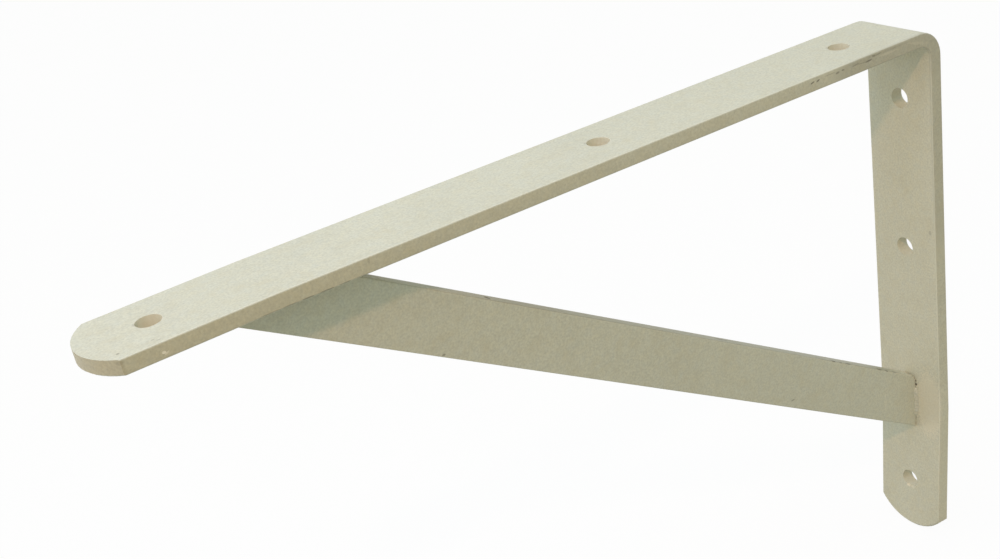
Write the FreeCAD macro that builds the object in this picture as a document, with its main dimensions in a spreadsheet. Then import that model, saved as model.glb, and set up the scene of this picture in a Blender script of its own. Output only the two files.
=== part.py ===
import FreeCAD, Part
import math
import os
import Sketcher

# A gallows shelf bracket. One flat bar is bent to an L, an arm above and an upright below it,
# and a narrower flat bar stands on edge between them as a diagonal brace, welded at both ends.
# X runs out from the wall along the arm, Y runs across the bar and Z runs up.
# The origin is the centre of the top wall screw's hole, on the face that meets the wall.

os.makedirs("parts", exist_ok=True)
doc = FreeCAD.newDocument("gallows_bracket")

# Lengths in millimetres, angles in degrees.
# Places along the arm count from the wall, and places along the upright count down from the shelf.
# An inset counts back from the arm's tip or up from the upright's tail.
SIZES = {
    "bar_width": 30,
    "bar_thickness": 5,
    "bar_edge_radius": 0.5,
    "bend_inner_radius": 5,
    "arm_length": 306.7,
    "upright_height": 213.7,
    "end_arc_radius": 19,
    "crop_allowance": 2,
    "crop_bevel": 0.6,
    "screw_hole_diameter": 7.5,
    "shelf_hole_rear": 33.5,
    "shelf_hole_middle": 137,
    "tip_hole_inset": 20.7,
    "wall_hole_top": 27.5,
    "wall_hole_middle": 87,
    "tail_hole_inset": 21.7,
    "brace_width": 20,
    "brace_thickness": 6,
    "brace_edge_radius": 0.5,
    "brace_corner_radius": 3.5,
    "arm_foot_inset": 52.2,
    "tail_foot_inset": 59.2,
    "tip_droop": 0.9,
    "tail_lean": 2.7,
    "weld_length": 13,
    "weld_leg": 1.5,
}

sheet = doc.addObject("Spreadsheet::Sheet", "Dimensions")
for row, (name, value) in enumerate(SIZES.items(), start=1):
    sheet.set(f"A{row}", name)
    sheet.set(f"B{row}", str(value))
    sheet.setAlias(f"B{row}", name)
doc.recompute()


def in_sheet(formula):
    """Point every size that a formula names at its cell in the sheet."""
    return " ".join(f"Dimensions.{word}" if word in SIZES else word for word in formula.split(" "))


def worth(formula):
    """Work a formula out with the sheet's present values."""
    return float(sheet.evalExpression(in_sheet(formula)))


def new_body(label):
    body = doc.addObject("PartDesign::Body", label)
    body.Label = label
    return body


def new_sketch(body, name, role):
    """Start a sketch on one of a body's own origin planes."""
    plane = next(plane for plane in body.Origin.OriginFeatures if plane.Role == role)
    sketch = body.newObject("Sketcher::SketchObject", name)
    sketch.AttachmentSupport = (plane, "")
    sketch.MapMode = "FlatFace"
    return sketch


def relate(sketch, kind, *places):
    """Add a constraint that has no size."""
    sketch.addConstraint(Sketcher.Constraint(kind, *places))


def dimension(sketch, kind, places, formula):
    """Add a constraint whose size follows a formula."""
    value = worth(formula)
    if kind == "Angle":
        value = math.radians(value)
    index = sketch.addConstraint(Sketcher.Constraint(kind, *places, value))
    sketch.setExpression(f"Constraints[{index}]", in_sheet(formula))


def closed_outline(sketch, corners):
    """Draw straight lines from corner to corner and back to the first."""
    points = [FreeCAD.Vector(across, up, 0) for across, up in corners]
    for start, end in zip(points, points[1:] + points[:1]):
        sketch.addGeometry(Part.LineSegment(start, end))
    for line in range(len(points)):
        relate(sketch, "Coincident", line, 2, (line + 1) % len(points), 1)


def screw_hole(sketch, across, up):
    """Draw one screw hole's circle and give it its diameter."""
    centre = FreeCAD.Vector(across, up, 0)
    radius = worth("screw_hole_diameter / 2")
    circle = sketch.addGeometry(Part.Circle(centre, FreeCAD.Vector(0, 0, 1), radius))
    dimension(sketch, "Diameter", (circle,), "screw_hole_diameter")
    return circle


def pad_across(body, name, sketch, width):
    """Thicken an outline by the same amount to each side of its plane."""
    pad = body.newObject("PartDesign::Pad", name)
    pad.Profile = sketch
    pad.SideType = "Symmetric"
    pad.setExpression("Length", in_sheet(width))
    doc.recompute()
    return pad


def cut_through(body, name, sketch):
    """Cut an outline right through, both ways, and make sure that metal was removed."""
    doc.recompute()
    volume = body.Shape.Volume
    pocket = body.newObject("PartDesign::Pocket", name)
    pocket.Profile = sketch
    pocket.Type = "ThroughAll"
    pocket.SideType = "Symmetric"
    doc.recompute()
    if body.Shape.Volume >= volume:
        raise RuntimeError(f"{name} removed nothing")


def round_edges(body, name, base, radius, wanted):
    """Fillet the edges of a feature that a test picks."""
    edges = [f"Edge{number}" for number, edge in enumerate(base.Shape.Edges, start=1) if wanted(edge)]
    fillet = body.newObject("PartDesign::Fillet", name)
    fillet.Base = (base, edges)
    fillet.setExpression("Radius", in_sheet(radius))
    doc.recompute()
    return fillet


def near(edge, corner):
    """Tell whether an edge's middle is seen at one point of the side view."""
    middle = edge.CenterOfMass
    return math.hypot(middle.x - corner[0], middle.z - corner[1]) < 0.01


# The bent bar. Its side view is one closed outline with sharp corners at first.
# The brace's welds have drawn the bar a little: past the middle of each foot of the brace it
# leans inwards, so the arm's tip droops and the upright's tail stands off the wall.

bar = new_body("bent_bar")
bar_side = new_sketch(bar, "bar_side", "XZ_Plane")

thick = worth("bar_thickness")
shelf = worth("wall_hole_top")
droop = math.radians(worth("tip_droop"))
lean = math.radians(worth("tail_lean"))
tip_run = worth("arm_foot_inset + crop_allowance")
tail_run = worth("tail_foot_inset + crop_allowance")

outer_corner = (0, shelf)
inner_corner = (thick, shelf - thick)
arm_kink = (worth("arm_length - arm_foot_inset"), shelf - thick)
arm_kink_over = (arm_kink[0] + thick * math.tan(droop / 2), shelf)
tip_under = (arm_kink[0] + tip_run * math.cos(droop), arm_kink[1] - tip_run * math.sin(droop))
tip_over = (tip_under[0] + thick * math.sin(droop), tip_under[1] + thick * math.cos(droop))
upright_kink = (thick, shelf - worth("upright_height - tail_foot_inset"))
upright_kink_behind = (0, upright_kink[1] - thick * math.tan(lean / 2))
tail_front = (upright_kink[0] + tail_run * math.sin(lean), upright_kink[1] - tail_run * math.cos(lean))
tail_behind = (tail_front[0] - thick * math.cos(lean), tail_front[1] - thick * math.sin(lean))

closed_outline(bar_side, [outer_corner, upright_kink_behind, tail_behind, tail_front, upright_kink,
                          inner_corner, arm_kink, tip_under, tip_over, arm_kink_over])
BACK, TAIL_BACK, TAIL_END, TAIL_FRONT, FRONT, UNDER, TIP_UNDER, TIP_END, TIP_TOP, TOP = range(10)

for line in (BACK, FRONT):
    relate(bar_side, "Vertical", line)
for line in (UNDER, TOP):
    relate(bar_side, "Horizontal", line)
relate(bar_side, "Parallel", TAIL_BACK, TAIL_FRONT)
relate(bar_side, "Parallel", TIP_UNDER, TIP_TOP)
relate(bar_side, "Perpendicular", TAIL_END, TAIL_FRONT)
relate(bar_side, "Perpendicular", TIP_END, TIP_UNDER)
relate(bar_side, "PointOnObject", BACK, 1, -2)
dimension(bar_side, "DistanceY", (-1, 1, BACK, 1), "wall_hole_top")
dimension(bar_side, "DistanceX", (BACK, 1, UNDER, 1), "bar_thickness")
dimension(bar_side, "DistanceY", (UNDER, 1, BACK, 1), "bar_thickness")
dimension(bar_side, "DistanceX", (BACK, 1, TIP_UNDER, 1), "arm_length - arm_foot_inset")
dimension(bar_side, "DistanceY", (FRONT, 1, BACK, 1), "upright_height - tail_foot_inset")
dimension(bar_side, "Distance", (TAIL_END,), "bar_thickness")
dimension(bar_side, "Distance", (TIP_END,), "bar_thickness")
dimension(bar_side, "Angle", (TAIL_END,), "tail_lean")
dimension(bar_side, "Angle", (TIP_END,), "90 - tip_droop")
dimension(bar_side, "Distance", (TAIL_FRONT,), "tail_foot_inset + crop_allowance")
dimension(bar_side, "Distance", (TIP_UNDER,), "arm_foot_inset + crop_allowance")
doc.recompute()

blank = pad_across(bar, "bar_blank", bar_side, "bar_width")
outside = round_edges(bar, "bend_outside", blank, "bend_inner_radius + bar_thickness",
                      lambda edge: near(edge, outer_corner))
inside = round_edges(bar, "bend_inside", outside, "bend_inner_radius",
                     lambda edge: near(edge, inner_corner))


# Rolled flat bar has slightly rounded long edges. The edges of its two ends stay as they are.

def middle_of(start, end):
    return ((start[0] + end[0]) / 2, (start[1] + end[1]) / 2)


def on_bar_side(edge):
    """Pick the edges of the bar's two sides, apart from those of its ends."""
    at_an_end = near(edge, middle_of(tip_under, tip_over)) or near(edge, middle_of(tail_front, tail_behind))
    flat = edge.BoundBox.YLength < 0.001
    return flat and not at_an_end


round_edges(bar, "rolled_edges", inside, "bar_edge_radius", on_bar_side)


# Both ends are cropped to an arc a little wider than the bar, which leaves a corner at each side,
# and the end's screw hole is punched in the same stroke. Each end has its own sketch on the bar's
# inner face. The sketch's origin is where the bar starts to lean, at the middle of the brace's foot,
# and its X runs along the bar. The crop breaks the rim of the inner face to a narrow bevel, whose
# sketch has the same origin and X but stands in the side view.

def lean_sketch(sketch, place, height_axis, axis, turn):
    """Move a sketch to the place where the bar starts to lean, and turn it by the lean."""
    sketch.AttachmentOffset = FreeCAD.Placement(FreeCAD.Vector(), FreeCAD.Rotation(axis, 1))
    sketch.setExpression("AttachmentOffset.Base.x", in_sheet(place[0]))
    sketch.setExpression("AttachmentOffset.Base." + height_axis, in_sheet(place[1]))
    sketch.setExpression("AttachmentOffset.Rotation.Angle", in_sheet(turn))


def punch_end(name, place, turn, reach, hole_reach):
    """Crop one leaning end of the bar to its arc and punch its screw hole."""
    sketch = new_sketch(bar, name + "_outline", "XY_Plane")
    lean_sketch(sketch, place, "z", FreeCAD.Vector(0, 1, 0), turn)

    radius = worth("end_arc_radius")
    centre = FreeCAD.Vector(worth(reach) - radius, 0, 0)
    steps = [(0, 1), (0, 2), (2, 2), (2, -2), (0, -2), (0, -1)]
    points = [centre + FreeCAD.Vector(along, across, 0) * radius for along, across in steps]
    for start, end in zip(points, points[1:]):
        sketch.addGeometry(Part.LineSegment(start, end))
    left, left_side, beyond, right_side, right = range(5)
    circle = Part.Circle(centre, FreeCAD.Vector(0, 0, 1), radius)
    arc = sketch.addGeometry(Part.ArcOfCircle(circle, -math.pi / 2, math.pi / 2))

    for line in (left, left_side, beyond, right_side):
        relate(sketch, "Coincident", line, 2, line + 1, 1)
    relate(sketch, "Coincident", arc, 1, right, 2)
    relate(sketch, "Coincident", arc, 2, left, 1)
    for line in (left, beyond, right):
        relate(sketch, "Vertical", line)
    for line in (left_side, right_side):
        relate(sketch, "Horizontal", line)
    relate(sketch, "PointOnObject", arc, 3, -1)
    relate(sketch, "Vertical", arc, 3, left, 1)
    relate(sketch, "Vertical", arc, 3, right, 2)
    dimension(sketch, "Radius", (arc,), "end_arc_radius")
    dimension(sketch, "DistanceX", (-1, 1, arc, 3), reach + " - end_arc_radius")
    dimension(sketch, "DistanceY", (arc, 3, left, 2), "2 * end_arc_radius")
    dimension(sketch, "DistanceY", (right, 1, arc, 3), "2 * end_arc_radius")
    dimension(sketch, "DistanceX", (arc, 3, beyond, 1), "2 * end_arc_radius")

    hole = screw_hole(sketch, worth(hole_reach), 0)
    relate(sketch, "PointOnObject", hole, 3, -1)
    dimension(sketch, "DistanceX", (-1, 1, hole, 3), hole_reach)
    cut_through(bar, name, sketch)


def bevel_rim(name, place, turn, reach, inward):
    """Turn a small triangle about the arc's centre, so that it cuts a bevel as wide as it is deep."""
    sketch = new_sketch(bar, name + "_outline", "XZ_Plane")
    lean_sketch(sketch, place, "y", FreeCAD.Vector(0, 0, -1), turn)

    bevel = worth("crop_bevel")
    rim = worth(reach)
    closed_outline(sketch, [(rim - 2 * bevel, -inward * bevel), (rim + bevel, -inward * bevel),
                            (rim + bevel, 2 * inward * bevel)])
    below, beyond = range(2)
    centre = rim - worth("end_arc_radius")
    axis = sketch.addGeometry(Part.LineSegment(FreeCAD.Vector(centre, 0, 0),
                                               FreeCAD.Vector(centre, inward * bevel, 0)), True)
    relate(sketch, "Horizontal", below)
    for line in (beyond, axis):
        relate(sketch, "Vertical", line)
    relate(sketch, "PointOnObject", axis, 1, -1)
    dimension(sketch, "DistanceX", (-1, 1, axis, 1), reach + " - end_arc_radius")
    dimension(sketch, "Distance", (axis,), "crop_bevel")
    dimension(sketch, "DistanceX", (-1, 1, beyond, 1), reach + " + crop_bevel")
    dimension(sketch, "DistanceX", (below, 1, below, 2), "3 * crop_bevel")
    dimension(sketch, "Distance", (beyond,), "3 * crop_bevel")
    if inward > 0:
        dimension(sketch, "DistanceY", (beyond, 1, -1, 1), "crop_bevel")
    else:
        dimension(sketch, "DistanceY", (-1, 1, beyond, 1), "crop_bevel")
    doc.recompute()

    volume = bar.Shape.Volume
    groove = bar.newObject("PartDesign::Groove", name)
    groove.Profile = sketch
    groove.ReferenceAxis = (sketch, ["Axis0"])
    groove.Angle = 180
    groove.Midplane = True
    doc.recompute()
    if bar.Shape.Volume >= volume:
        raise RuntimeError(f"{name} removed nothing")


on_arm = ("arm_length - arm_foot_inset", "wall_hole_top - bar_thickness")
on_upright = ("bar_thickness", "wall_hole_top - upright_height + tail_foot_inset")
punch_end("arm_tip", on_arm, "tip_droop", "arm_foot_inset", "arm_foot_inset - tip_hole_inset")
punch_end("upright_tail", on_upright, "90 - tail_lean", "tail_foot_inset",
          "tail_foot_inset - tail_hole_inset")
bevel_rim("arm_tip_bevel", on_arm, "tip_droop", "arm_foot_inset", 1)
bevel_rim("upright_tail_bevel", on_upright, "90 - tail_lean", "tail_foot_inset", -1)

# The other screw holes lie on the bar's middle line, where it is straight.

shelf_holes = new_sketch(bar, "shelf_holes_outline", "XY_Plane")
for place in ("shelf_hole_rear", "shelf_hole_middle"):
    hole = screw_hole(shelf_holes, worth(place), 0)
    relate(shelf_holes, "PointOnObject", hole, 3, -1)
    dimension(shelf_holes, "DistanceX", (-1, 1, hole, 3), place)
cut_through(bar, "shelf_holes", shelf_holes)

wall_holes = new_sketch(bar, "wall_holes_outline", "YZ_Plane")
hole = screw_hole(wall_holes, 0, 0)
relate(wall_holes, "Coincident", hole, 3, -1, 1)
hole = screw_hole(wall_holes, 0, -worth("wall_hole_middle - wall_hole_top"))
relate(wall_holes, "PointOnObject", hole, 3, -2)
dimension(wall_holes, "DistanceY", (hole, 3, -1, 1), "wall_hole_middle - wall_hole_top")
cut_through(bar, "wall_holes", wall_holes)


# The brace. Its middle line runs between the two points where the bar leans, so each foot spans
# one of them and is mitred to the bar's face on both sides of it. Cropping left the blunt corner
# of the lower foot rounded.

brace = new_body("brace")
brace_side = new_sketch(brace, "brace_side", "XZ_Plane")

slope = math.atan2(arm_kink[1] - upright_kink[1], arm_kink[0] - upright_kink[0])
half = worth("brace_width / 2")
rise = half / math.cos(slope)
spread = half / math.sin(slope)
upper_on_upright = (upright_kink[0], upright_kink[1] + rise)
inner_on_arm = (arm_kink[0] - spread, arm_kink[1])
drop = half / math.cos(slope - lean)
lower_on_upright = (upright_kink[0] + drop * math.sin(lean), upright_kink[1] - drop * math.cos(lean))
reach_out = half / math.sin(slope + droop)
outer_on_arm = (arm_kink[0] + reach_out * math.cos(droop), arm_kink[1] - reach_out * math.sin(droop))

closed_outline(brace_side, [inner_on_arm, upper_on_upright, upright_kink,
                            lower_on_upright, outer_on_arm, arm_kink])
OVER, FOOT_UPPER, FOOT_LOWER, BELOW, FOOT_OUTER, FOOT_INNER = range(6)
middle_line = brace_side.addGeometry(Part.LineSegment(FreeCAD.Vector(*upright_kink, 0),
                                                      FreeCAD.Vector(*arm_kink, 0)), True)

relate(brace_side, "Vertical", FOOT_UPPER)
relate(brace_side, "Horizontal", FOOT_INNER)
relate(brace_side, "Coincident", middle_line, 1, FOOT_LOWER, 1)
relate(brace_side, "Coincident", middle_line, 2, FOOT_INNER, 1)
relate(brace_side, "Parallel", OVER, middle_line)
relate(brace_side, "Parallel", BELOW, middle_line)
dimension(brace_side, "DistanceX", (-1, 1, FOOT_LOWER, 1), "bar_thickness")
dimension(brace_side, "DistanceY", (FOOT_LOWER, 1, -1, 1),
          "upright_height - tail_foot_inset - wall_hole_top")
dimension(brace_side, "DistanceX", (-1, 1, FOOT_INNER, 1), "arm_length - arm_foot_inset")
dimension(brace_side, "DistanceY", (-1, 1, FOOT_INNER, 1), "wall_hole_top - bar_thickness")
dimension(brace_side, "Distance", (OVER, 1, middle_line), "brace_width / 2")
dimension(brace_side, "Distance", (BELOW, 1, middle_line), "brace_width / 2")
dimension(brace_side, "Angle", (FOOT_LOWER,), "tail_lean - 90")
dimension(brace_side, "Angle", (FOOT_OUTER,), "180 - tip_droop")
doc.recompute()

plank = pad_across(brace, "brace_bar", brace_side, "brace_thickness")
cropped = round_edges(brace, "cropped_corner", plank, "brace_corner_radius",
                      lambda edge: near(edge, upper_on_upright))
round_edges(brace, "brace_eased_edges", cropped, "brace_edge_radius",
            lambda edge: edge.BoundBox.YLength < 0.001)


# A short weld bead fills the corner between the brace and the bar on each side of both feet.
# It is a round lump that thins out at its ends, less what would lie inside either bar.

def weld_bead(label, place, side, turn):
    """Lay one bead at a corner beside a foot's middle, along Z before its turn about Y."""
    lump = new_body(label + "_lump")
    outline = new_sketch(lump, label + "_outline", "XZ_Plane")
    leg = worth("weld_leg")
    reach = worth("weld_length / 2")
    closed_outline(outline, [(0, reach), (0, -reach), (leg / 3, -reach),
                             (leg, leg - reach), (leg, reach - leg), (leg / 3, reach)])
    axis, lower_end, lower_taper, face, upper_taper, upper_end = range(6)
    for line in (axis, face):
        relate(outline, "Vertical", line)
    for line in (lower_end, upper_end):
        relate(outline, "Horizontal", line)
    relate(outline, "PointOnObject", axis, 1, -2)
    dimension(outline, "DistanceY", (-1, 1, axis, 1), "weld_length / 2")
    dimension(outline, "DistanceY", (axis, 2, -1, 1), "weld_length / 2")
    dimension(outline, "DistanceX", (lower_end, 1, lower_taper, 1), "weld_leg / 3")
    dimension(outline, "DistanceX", (upper_end, 2, upper_taper, 2), "weld_leg / 3")
    dimension(outline, "DistanceX", (axis, 1, face, 1), "weld_leg")
    dimension(outline, "DistanceY", (lower_taper, 1, face, 1), "weld_leg")
    dimension(outline, "DistanceY", (face, 2, upper_end, 1), "weld_leg")

    turned = lump.newObject("PartDesign::Revolution", label + "_turned")
    turned.Profile = outline
    turned.ReferenceAxis = (outline, ["V_Axis"])
    turned.Angle = 360
    lump.Placement = FreeCAD.Placement(FreeCAD.Vector(), FreeCAD.Rotation(FreeCAD.Vector(0, 1, 0), turn))
    lump.setExpression("Placement.Base.x", in_sheet(place[0]))
    lump.setExpression("Placement.Base.y", in_sheet(f"{side} * brace_thickness / 2"))
    lump.setExpression("Placement.Base.z", in_sheet(place[1]))

    beside_brace = doc.addObject("Part::Cut", label + "_beside_brace")
    beside_brace.Base = lump
    beside_brace.Tool = brace
    bead = doc.addObject("Part::Cut", label)
    bead.Label = label
    bead.Base = beside_brace
    bead.Tool = bar
    doc.recompute()
    return bead


welds = [
    weld_bead("upright_weld_near", on_upright, 1, 180),
    weld_bead("upright_weld_far", on_upright, -1, 180),
    weld_bead("arm_weld_near", on_arm, 1, -90),
    weld_bead("arm_weld_far", on_arm, -1, -90),
]

# Everything is checked before anything is written.

doc.recompute()
for thing in doc.Objects:
    if "Invalid" in thing.State or "Error" in thing.State:
        raise RuntimeError(f"{thing.Label} failed: {thing.State}")
for piece in [bar, brace] + welds:
    shape = piece.Shape
    if shape.isNull() or not shape.isValid() or len(shape.Solids) != 1:
        raise RuntimeError(f"{piece.Label} isn't one valid solid")
for piece in [bar, brace] + welds:
    piece.Shape.exportStep(f"parts/{piece.Label}.step")
    box = piece.Shape.BoundBox
    print(piece.Label, "volume", round(piece.Shape.Volume, 2), "mm3, box",
          [round(value, 2) for value in (box.XMin, box.XMax, box.YMin, box.YMax, box.ZMin, box.ZMax)])
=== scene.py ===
# %% [markdown]
# # A cream gallows shelf bracket
# The bracket is one flat steel bar bent to an L, with a narrower flat bar standing on edge across
# the corner as a brace. Four short weld beads hold the brace, and the whole thing is sprayed with
# satin cream paint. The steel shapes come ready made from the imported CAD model, so this lesson is
# about everything that the CAD can't say: the paint and its small blemishes, the uneven beads, the
# light and the view. Blender counts in metres, and places on the bracket are written in
# millimetres from its top screw hole. X goes out along the arm, Y to the near side and Z up.

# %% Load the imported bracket
import math
from collections import namedtuple

import bpy
import numpy as np
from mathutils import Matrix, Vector


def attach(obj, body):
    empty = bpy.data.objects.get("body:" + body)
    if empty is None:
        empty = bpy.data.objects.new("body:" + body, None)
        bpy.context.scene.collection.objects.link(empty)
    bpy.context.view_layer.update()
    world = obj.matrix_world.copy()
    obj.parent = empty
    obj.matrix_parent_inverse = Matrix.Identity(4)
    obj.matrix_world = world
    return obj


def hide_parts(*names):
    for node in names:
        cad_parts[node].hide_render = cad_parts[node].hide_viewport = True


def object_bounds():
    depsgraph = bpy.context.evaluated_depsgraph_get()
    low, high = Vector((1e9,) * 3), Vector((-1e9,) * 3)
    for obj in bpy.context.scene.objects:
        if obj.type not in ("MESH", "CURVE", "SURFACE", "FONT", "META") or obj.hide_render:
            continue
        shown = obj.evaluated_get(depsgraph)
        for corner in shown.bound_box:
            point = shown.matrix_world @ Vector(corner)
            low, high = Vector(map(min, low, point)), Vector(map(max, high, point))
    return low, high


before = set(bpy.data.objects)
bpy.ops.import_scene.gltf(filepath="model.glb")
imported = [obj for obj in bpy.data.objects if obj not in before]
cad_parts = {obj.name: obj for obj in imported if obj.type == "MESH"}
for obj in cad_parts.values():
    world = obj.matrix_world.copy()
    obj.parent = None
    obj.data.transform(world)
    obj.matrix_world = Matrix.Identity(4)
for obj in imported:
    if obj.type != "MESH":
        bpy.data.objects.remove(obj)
cad_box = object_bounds()
MM = 0.001


def in_mm(box):
    """Turn both corners of a box into rounded millimetres, for printing."""
    return [[round(value / MM, 2) for value in corner] for corner in box]


print("nodes:", sorted(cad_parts))
print("CAD box in mm:", in_mm(cad_box))

# %% [markdown]
# ## Smooth steel from loose triangles
# The real bar is smooth round its bend and its holes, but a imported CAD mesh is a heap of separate
# triangles, so both would show their facets. The triangles could be merged by hand in Edit Mode,
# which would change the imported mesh. So a Geometry Nodes modifier joins them on the way to the
# render instead, then shades them smooth wherever two of them meet at a shallow angle. Corners that
# are sharper than the limit stay crisp, as the cropped ends of the real bar do.

# %% A modifier that joins and smooths
SMOOTH_LIMIT = math.radians(32)
JOIN_DISTANCE = 0.002 * MM


def smoothing_nodes():
    """Merge touching points, shade all faces smooth, then make edges above the limit sharp again."""
    tree = bpy.data.node_groups.new("join_and_smooth", "GeometryNodeTree")
    tree.interface.new_socket("Geometry", in_out="INPUT", socket_type="NodeSocketGeometry")
    tree.interface.new_socket("Geometry", in_out="OUTPUT", socket_type="NodeSocketGeometry")
    came_in = tree.nodes.new("NodeGroupInput")
    goes_out = tree.nodes.new("NodeGroupOutput")
    merge = tree.nodes.new("GeometryNodeMergeByDistance")
    merge.inputs["Distance"].default_value = JOIN_DISTANCE
    smooth_faces = tree.nodes.new("GeometryNodeSetShadeSmooth")
    smooth_faces.domain = "FACE"
    smooth_edges = tree.nodes.new("GeometryNodeSetShadeSmooth")
    smooth_edges.domain = "EDGE"
    angle = tree.nodes.new("GeometryNodeInputMeshEdgeAngle")
    shallow = tree.nodes.new("FunctionNodeCompare")
    shallow.operation = "LESS_THAN"
    shallow.inputs["B"].default_value = SMOOTH_LIMIT
    tree.links.new(came_in.outputs["Geometry"], merge.inputs["Geometry"])
    tree.links.new(merge.outputs["Geometry"], smooth_faces.inputs["Geometry"])
    tree.links.new(smooth_faces.outputs["Geometry"], smooth_edges.inputs["Geometry"])
    tree.links.new(angle.outputs["Unsigned Angle"], shallow.inputs["A"])
    tree.links.new(shallow.outputs["Result"], smooth_edges.inputs["Shade Smooth"])
    tree.links.new(smooth_edges.outputs["Geometry"], goes_out.inputs["Geometry"])
    return tree


join_and_smooth = smoothing_nodes()
for name in ("bent_bar", "brace"):
    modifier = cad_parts[name].modifiers.new("join_and_smooth", "NODES")
    modifier.node_group = join_and_smooth
    print(name, "is shaded smooth below", round(math.degrees(SMOOTH_LIMIT)), "degrees")

# %% [markdown]
# ## The view
# The picture looks down on the arm from its free end, past the near side, with the camera rolled a
# little so that the upright leans. A camera could be placed by eye, but a real photograph's view is
# met only when every corner falls on its own spot. So the place, the turn and the 50 mm lens below
# were worked out once from the corners of the bar, and the render and the photograph can be laid
# over each other.

# %% Set up the camera
VIEW_PLACE = (0.36505, 0.33662, 0.17912)
VIEW_TURN = (64.247, 9.085, 146.810)
camera_data = bpy.data.cameras.new("view_camera")
camera_data.lens = 50.0
camera_data.sensor_width = 36.0
camera = bpy.data.objects.new("view_camera", camera_data)
camera.location = VIEW_PLACE
camera.rotation_euler = [math.radians(turn) for turn in VIEW_TURN]
bpy.context.scene.collection.objects.link(camera)
bpy.context.scene.camera = camera
box_middle = (Vector(cad_box[0]) + Vector(cad_box[1])) / 2
print("camera stands", round((camera.location - box_middle).length, 3), "m from the bracket's middle")

# %% [markdown]
# ## Small tools for node trees
# A procedural material is a little program drawn as boxes and wires. It could be clicked together
# in the Shader Editor, but a program written as text can be read from top to bottom and run again.
# A few helpers keep it short. The first two add a node and fill its inputs, each with a number or
# with a wire from another node. Others do sums, take vectors apart, mix colours, turn a value into
# a soft step and make noise. The last opens a node group, which is a box of our own that several
# materials can share.

# %% Helpers that add nodes and do sums
def fill(tree, sockets, inputs):
    """Wire each named input that is given a socket, and set each one that is given a value."""
    for name, value in inputs.items():
        if isinstance(value, bpy.types.NodeSocket):
            tree.links.new(value, sockets[name])
        else:
            sockets[name].default_value = value


def add_node(tree, kind, inputs=None, **settings):
    """Add one node of a kind, with its settings made before its inputs are filled."""
    made = tree.nodes.new(kind)
    for setting, value in settings.items():
        setattr(made, setting, value)
    fill(tree, made.inputs, inputs or {})
    return made


def add_group(tree, group, inputs):
    """Add a node that stands for a whole group, and hand back its outputs."""
    return add_node(tree, "ShaderNodeGroup", inputs, node_tree=group).outputs


def calculate(tree, operation, *values):
    """Add one Math node and hand back its result."""
    return add_node(tree, "ShaderNodeMath", dict(enumerate(values)), operation=operation).outputs[0]


def calculate_vector(tree, operation, inputs, result="Vector"):
    """Add one Vector Math node and hand back its result, a Vector or, where it is asked for, a Value."""
    return add_node(tree, "ShaderNodeVectorMath", inputs, operation=operation).outputs[result]


def split(tree, vector):
    """Take a vector apart into its X, Y and Z."""
    return add_node(tree, "ShaderNodeSeparateXYZ", {0: vector}).outputs

# %% Helpers that mix, step, vary and group
def mix_colours(tree, amount, first, second):
    """Blend two colours. A Mix node keeps its factor in input 0 and its colours in 6 and 7."""
    return add_node(tree, "ShaderNodeMix", {0: amount, 6: first, 7: second}, data_type="RGBA").outputs[2]


def ramp(tree, value, start, end, low=0.0, high=1.0):
    """Turn a value into a soft step from low at the start to high at the end.

    Where the start is above the end, the step is high for small values and low for large ones.
    """
    inputs = {"Value": value, "From Min": start, "From Max": end, "To Min": low, "To Max": high}
    return add_node(tree, "ShaderNodeMapRange", inputs, interpolation_type="SMOOTHSTEP").outputs[0]


def noise(tree, position, size, detail=2.0, roughness=0.55):
    """Add a noise from 0 to 1 whose blotches are about as wide as the size, in metres."""
    inputs = {"Vector": position, "Scale": 1 / size, "Detail": detail, "Roughness": roughness}
    return add_node(tree, "ShaderNodeTexNoise", inputs).outputs["Fac"]


def swing(tree, position, size, detail=2.0, roughness=0.55):
    """Add a noise that swings to both sides of zero, by half at most."""
    return calculate(tree, "SUBTRACT", noise(tree, position, size, detail, roughness), 0.5)


def open_group(name, inputs, outputs):
    """Start a shader node group. Its inputs are (name, kind, default) and its outputs (name, kind)."""
    tree = bpy.data.node_groups.new(name, "ShaderNodeTree")
    for label, kind, default in inputs:
        socket = tree.interface.new_socket(label, in_out="INPUT", socket_type="NodeSocket" + kind)
        socket.default_value = default
    for label, kind in outputs:
        tree.interface.new_socket(label, in_out="OUTPUT", socket_type="NodeSocket" + kind)
    print("group", name, "gives", ", ".join(label for label, kind in outputs))
    return tree, tree.nodes.new("NodeGroupInput").outputs, tree.nodes.new("NodeGroupOutput").inputs

# %% [markdown]
# ## The colour of sprayed cream paint
# A sprayed coat is never one flat colour. It is a touch thicker and paler in some places, thinner
# and browner in others, with a fine speckle from the droplets. A painted image could show that, but
# it would stretch at the bend and need a seam somewhere, while noise is read from each point's
# place in space and runs round every corner. One noise makes the wide clouds, a second the
# speckle, a third tips the hue between warm and cool, and a fourth picks the thin patches. They
# only nudge a base colour, so each piece of the bracket can have its own.

# %% A group for the uneven tone
CLOUD_SIZE = 26 * MM
SPECKLE_SIZE = 0.7 * MM
HUE_SIZE = 2.6 * MM
PATCH_SIZE = 7 * MM
PATCH_STEP = (0.46, 0.72)


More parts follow.
